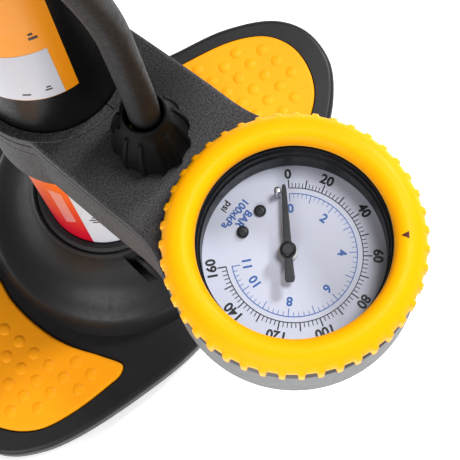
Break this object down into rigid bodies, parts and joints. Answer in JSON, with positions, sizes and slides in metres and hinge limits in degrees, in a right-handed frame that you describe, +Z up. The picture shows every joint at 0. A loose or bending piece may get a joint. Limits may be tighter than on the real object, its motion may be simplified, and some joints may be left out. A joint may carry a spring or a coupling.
{
  "type": "portable tire inflator",
  "caption": "Upright hand-operated floor pump with a wide foot base, T handle, round pressure gauge on a side arm and a stored hose with a lever chuck.",
  "frame": {"origin": "centre of the pump's footprint, on the floor", "axes": "+Z up along the barrel, -Y from the barrel towards the gauge, +X towards the right foot pad seen from the gauge side"},
  "size_m": [0.2289, 0.1977, 0.6576],
  "materials": {
    "black_plastic": "satin, fine grain",
    "gloss_black": "gloss",
    "dark_grey_plastic": "spark-eroded texture",
    "yellow_plastic": "satin gloss",
    "yellow_rubber": "dimpled",
    "black_rubber": "smooth matte",
    "red_label": "printed film",
    "yellow_label": "printed film",
    "white_plastic": "smooth",
    "clear_lens": "polished",
    "steel": "plated",
    "case_grey": "brushed",
    "brass": "machined"
  },
  "bodies": {
    "stand": {"base_plate": "black_plastic", "barrel_cap": "black_plastic", "hose_nut": "black_plastic", "hose_holder": "black_plastic", "chuck_holder": "black_plastic", "chuck_body": "black_plastic", "dial_screw_1": "black_plastic", "dial_screw_2": "black_plastic", "barrel_tube": "gloss_black", "lens_ring": "gloss_black", "arm_housing": "dark_grey_plastic", "arm_cover": "dark_grey_plastic", "base_plug": "dark_grey_plastic", "chuck_cap": "dark_grey_plastic", "foot_pad_right": "yellow_rubber", "foot_pad_left": "yellow_rubber", "base_foot_1": "black_rubber", "base_foot_2": "black_rubber", "base_foot_3": "black_rubber", "base_foot_4": "black_rubber", "base_foot_5": "black_rubber", "boss_ring": "black_rubber", "handle_bumper": "black_rubber", "chuck_gasket": "black_rubber", "hose": "black_rubber", "lower_label": "red_label", "barrel_label": "yellow_label", "gauge_dial": "white_plastic", "dial_bush": "white_plastic", "rod_bush": "white_plastic", "gauge_lens": "clear_lens", "base_bolt": "steel", "inner_cylinder": "steel", "arm_screw_1": "steel", "arm_screw_2": "steel", "stop_peg": "steel", "chuck_pin": "steel", "hose_ferrule": "steel", "gauge_case": "case_grey", "air_block": "brass", "port_nipple": "brass", "hose_barb": "brass", "bourdon_tube": "brass", "movement_frame": "brass", "gauge_stem": "brass"},
    "plunger": {"piston": "dark_grey_plastic", "piston_seal": "black_rubber", "piston_nut": "steel", "piston_rod": "steel", "rod_bumper": "black_rubber", "handle_bar": "black_plastic", "grip_right": "dark_grey_plastic", "grip_left": "dark_grey_plastic", "handle_screw": "steel"},
    "bezel": {"gauge_bezel": "yellow_plastic"},
    "needle": {"pointer": "black_plastic", "pointer_arbor": "steel"},
    "lever": {"chuck_lever": "yellow_plastic"},
    "valve_disc": {"check_valve_disc": "black_rubber"}
  },
  "joints": [
    {"name": "pump_stroke", "type": "slide", "parent": "stand", "child": "plunger", "axis": [0, 0, 1], "range_m": [0, 0.43]},
    {"name": "bezel_turn", "type": "hinge", "parent": "stand", "child": "bezel", "pos_m": [0, -0.0588, 0.205], "axis": [0, 0, 1], "continuous": true},
    {"name": "pointer_sweep", "type": "hinge", "parent": "stand", "child": "needle", "pos_m": [-0.0007, -0.057, 0.196], "axis": [0, 0, -1], "range_deg": [0, 264], "stiffness_Nm_per_rad": 0.00002},
    {"name": "chuck_lever_swing", "type": "hinge", "parent": "stand", "child": "lever", "pos_m": [0.04, 0.0217, 0.286], "axis": [-1, 0, 0], "range_deg": [0, 90]},
    {"name": "check_valve_lift", "type": "slide", "parent": "stand", "child": "valve_disc", "axis": [0, 0, 1], "range_m": [0, 0.0025]}
  ]
}
